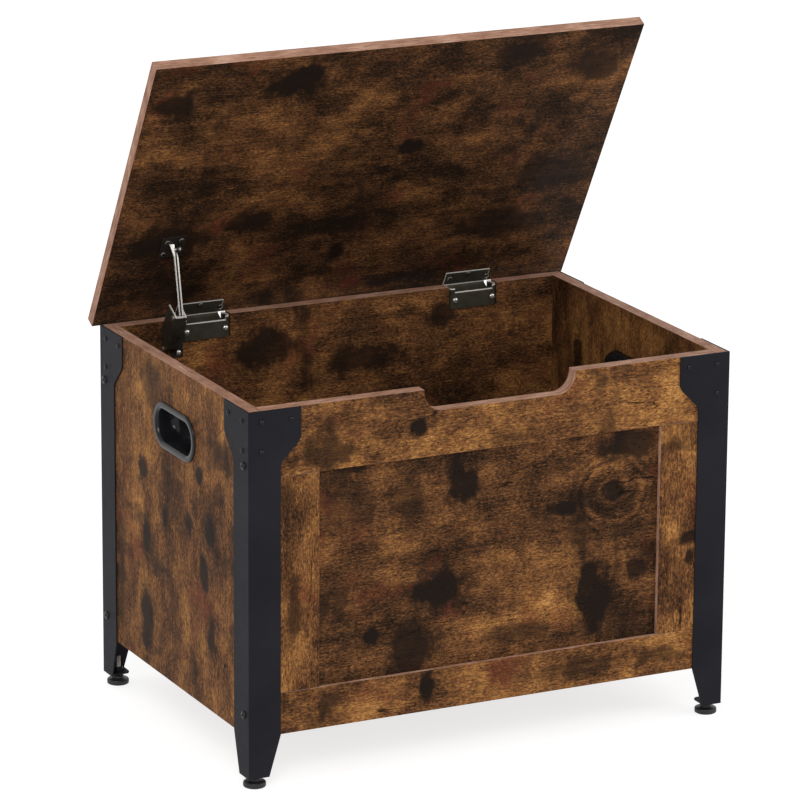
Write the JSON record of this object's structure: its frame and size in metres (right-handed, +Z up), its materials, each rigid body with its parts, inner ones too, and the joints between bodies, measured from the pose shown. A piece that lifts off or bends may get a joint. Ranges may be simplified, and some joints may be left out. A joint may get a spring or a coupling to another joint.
{
  "type": "toy box",
  "caption": "Wooden toy box on angled steel legs with levelling feet, recessed side handles, a finger notch and a hinged lid held open by a folding stay.",
  "frame": {"origin": "centre of the open box's footprint, on the floor that the feet stand on", "axes": "+Z up, +Y to the back where the hinges are, +X to the right seen from the front"},
  "size_m": [0.6, 0.4186, 0.7578],
  "materials": {
    "wood": "rustic brown printed board, satin",
    "black_steel": "matt black powder coat",
    "black_screw": "black socket bolt",
    "bronze": "antique bronze plate",
    "zinc": "bright plated steel",
    "black_plastic": "gloss black moulded plastic",
    "foot_plastic": "black moulded plastic"
  },
  "bodies": {
    "case": {"front_board": "wood", "front_top_rail": "wood", "front_bottom_rail": "wood", "front_stile_left": "wood", "front_stile_right": "wood", "back_panel": "wood", "left_panel": "wood", "right_panel": "wood", "bottom_panel": "wood", "bottom_batten_front": "wood", "bottom_batten_back": "wood", "leg_front_left": "black_steel", "leg_front_right": "black_steel", "leg_back_left": "black_steel", "leg_back_right": "black_steel", "leg_bolt_front_left_upper": "black_screw", "leg_bolt_front_left_lower": "black_screw", "leg_bolt_front_right_upper": "black_screw", "leg_bolt_front_right_lower": "black_screw", "leg_bolt_back_left_upper": "black_screw", "leg_bolt_back_left_lower": "black_screw", "leg_bolt_back_right_upper": "black_screw", "leg_bolt_back_right_lower": "black_screw", "handle_left": "black_plastic", "handle_right": "black_plastic", "hinge_base_left": "bronze", "hinge_base_right": "bronze", "hinge_base_left_screw_left": "zinc", "hinge_base_left_screw_right": "zinc", "hinge_base_right_screw_left": "zinc", "hinge_base_right_screw_right": "zinc", "hinge_pin_left": "zinc", "hinge_pin_right": "zinc", "stay_base_bracket": "bronze", "stay_base_screw_1": "zinc", "stay_base_screw_2": "zinc", "stay_base_pin": "zinc"},
    "lid": {"lid_panel": "wood", "hinge_leaf_left": "bronze", "hinge_leaf_right": "bronze", "hinge_leaf_left_screw_1": "zinc", "hinge_leaf_left_screw_2": "zinc", "hinge_leaf_left_screw_3": "zinc", "hinge_leaf_right_screw_1": "zinc", "hinge_leaf_right_screw_2": "zinc", "hinge_leaf_right_screw_3": "zinc", "stay_lid_bracket": "bronze", "stay_lid_screw_1": "zinc", "stay_lid_screw_2": "zinc", "stay_lid_screw_3": "zinc", "stay_lid_pin": "zinc"},
    "stay_channel": {"stay_channel": "bronze"},
    "stay_arm": {"stay_arm": "zinc", "stay_knee_pin": "zinc"},
    "foot_front_left": {"foot_front_left": "foot_plastic"},
    "foot_front_right": {"foot_front_right": "foot_plastic"},
    "foot_back_left": {"foot_back_left": "foot_plastic"},
    "foot_back_right": {"foot_back_right": "foot_plastic"}
  },
  "joints": [
    {"name": "lid_hinge", "type": "hinge", "parent": "case", "child": "lid", "pos_m": [0, 0.18384, 0.404], "axis": [-1, 0, 0], "range_deg": [-60.5, 0]},
    {"name": "stay_channel_pivot", "type": "hinge", "parent": "case", "child": "stay_channel", "pos_m": [-0.2195, 0.16674, 0.394], "axis": [-1, 0, 0], "range_deg": [-88, 0]},
    {"name": "stay_arm_pivot", "type": "hinge", "parent": "lid", "child": "stay_arm", "pos_m": [-0.222, 0.13596, 0.51605], "axis": [-1, 0, 0], "range_deg": [0, 12]},
    {"name": "foot_front_left_level", "type": "slide", "parent": "case", "child": "foot_front_left", "axis": [0, 0, -1], "range_m": [0, 0.008]},
    {"name": "foot_front_right_level", "type": "slide", "parent": "case", "child": "foot_front_right", "axis": [0, 0, -1], "range_m": [0, 0.008]},
    {"name": "foot_back_left_level", "type": "slide", "parent": "case", "child": "foot_back_left", "axis": [0, 0, -1], "range_m": [0, 0.008]},
    {"name": "foot_back_right_level", "type": "slide", "parent": "case", "child": "foot_back_right", "axis": [0, 0, -1], "range_m": [0, 0.008]}
  ],
  "couplings": [
    {"joint": "stay_channel_pivot", "follows": "lid_hinge", "ratio": 1.4519},
    {"joint": "stay_arm_pivot", "follows": "lid_hinge", "ratio": -0.1977}
  ]
}
